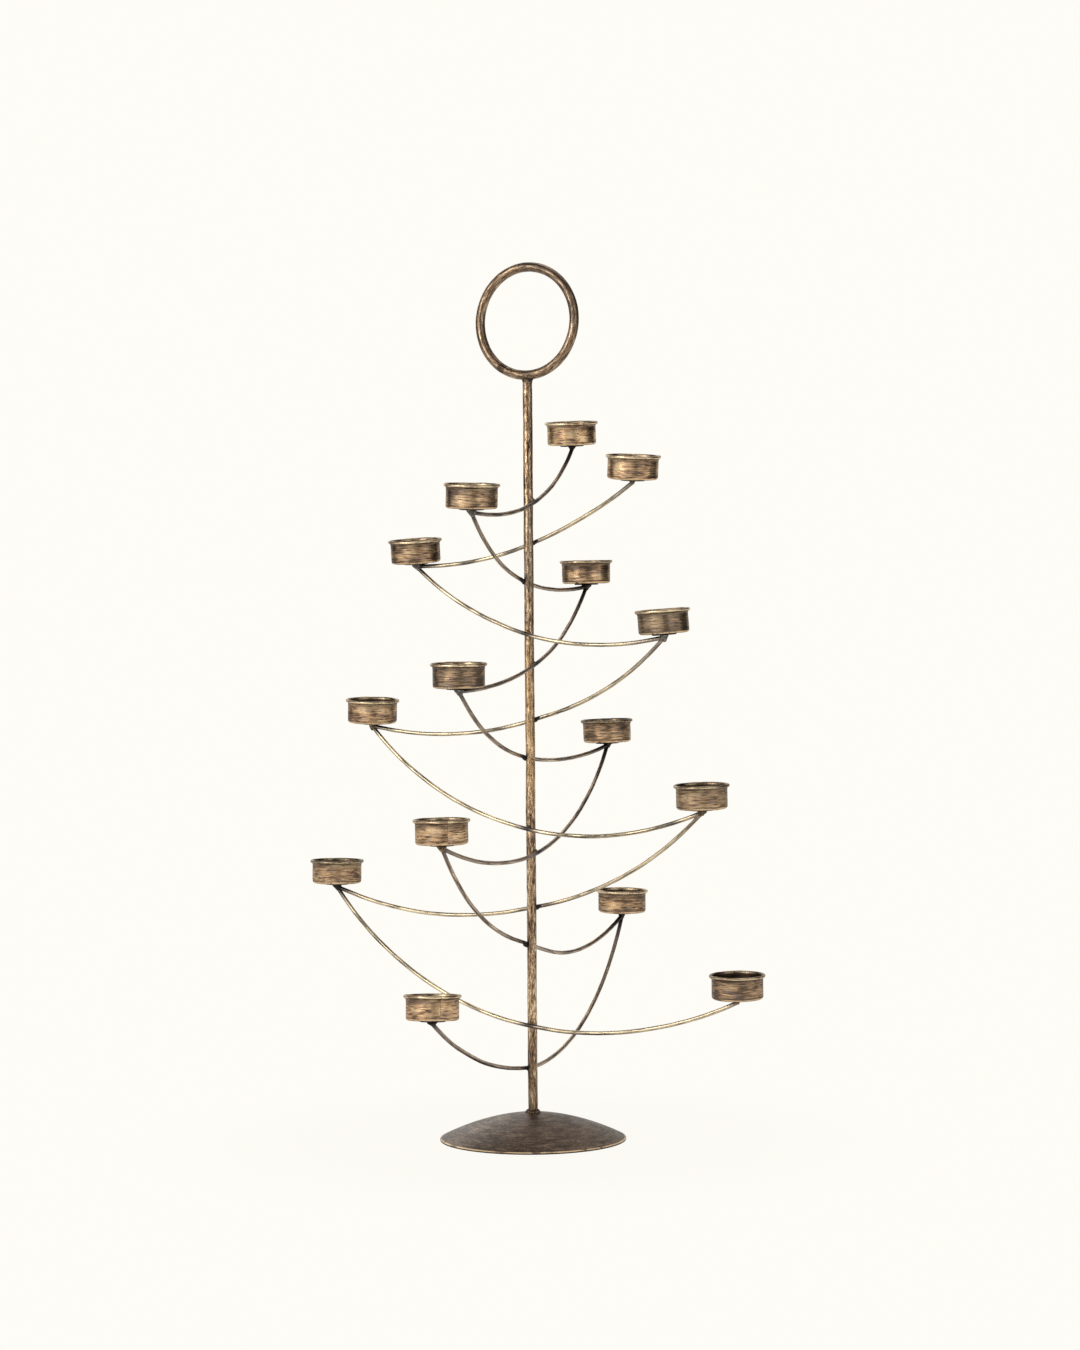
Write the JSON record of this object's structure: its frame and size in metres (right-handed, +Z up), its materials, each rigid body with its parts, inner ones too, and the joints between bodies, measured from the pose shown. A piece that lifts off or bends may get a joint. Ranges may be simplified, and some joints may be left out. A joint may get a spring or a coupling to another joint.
{
  "type": "votive holder",
  "caption": "Tall candle tree with a domed foot, an upright rod with a ring on top, and curved wire arms that carry tealight cups.",
  "frame": {"origin": "on the rod's axis, in the plane of the foot's underside", "axes": "+Z up along the rod; one line of cups lies along X and the other along Y; the lowest cup on the X line is on the +X side"},
  "size_m": [0.4171, 0.4155, 0.7354],
  "materials": {
    "antique_gold": "satin",
    "rod_gold": "satin",
    "foot_bronze": "satin",
    "dark_weld": "satin"
  },
  "bodies": {
    "root": {"foot": "foot_bronze", "stem": "rod_gold", "top_ring": "rod_gold", "arm_01": "rod_gold", "arm_02": "rod_gold", "arm_03": "rod_gold", "arm_04": "rod_gold", "arm_05": "rod_gold", "arm_06": "rod_gold", "arm_07": "rod_gold", "arm_08": "rod_gold", "arm_09": "rod_gold", "arm_10": "rod_gold", "arm_11": "rod_gold", "arm_12": "rod_gold", "arm_13": "rod_gold", "cup_wall_01": "antique_gold", "cup_wall_02": "antique_gold", "cup_wall_03": "antique_gold", "cup_wall_04": "antique_gold", "cup_wall_05": "antique_gold", "cup_wall_06": "antique_gold", "cup_wall_07": "antique_gold", "cup_wall_08": "antique_gold", "cup_wall_09": "antique_gold", "cup_wall_10": "antique_gold", "cup_wall_11": "antique_gold", "cup_wall_12": "antique_gold", "cup_wall_13": "antique_gold", "cup_wall_14": "antique_gold", "cup_wall_15": "antique_gold", "cup_floor_01": "antique_gold", "cup_floor_02": "antique_gold", "cup_floor_03": "antique_gold", "cup_floor_04": "antique_gold", "cup_floor_05": "antique_gold", "cup_floor_06": "antique_gold", "cup_floor_07": "antique_gold", "cup_floor_08": "antique_gold", "cup_floor_09": "antique_gold", "cup_floor_10": "antique_gold", "cup_floor_11": "antique_gold", "cup_floor_12": "antique_gold", "cup_floor_13": "antique_gold", "cup_floor_14": "antique_gold", "cup_floor_15": "antique_gold", "backing_discs": "dark_weld", "cup_welds": "dark_weld", "stem_welds": "dark_weld", "ring_weld": "dark_weld", "foot_weld": "dark_weld"}
  },
  "joints": []
}
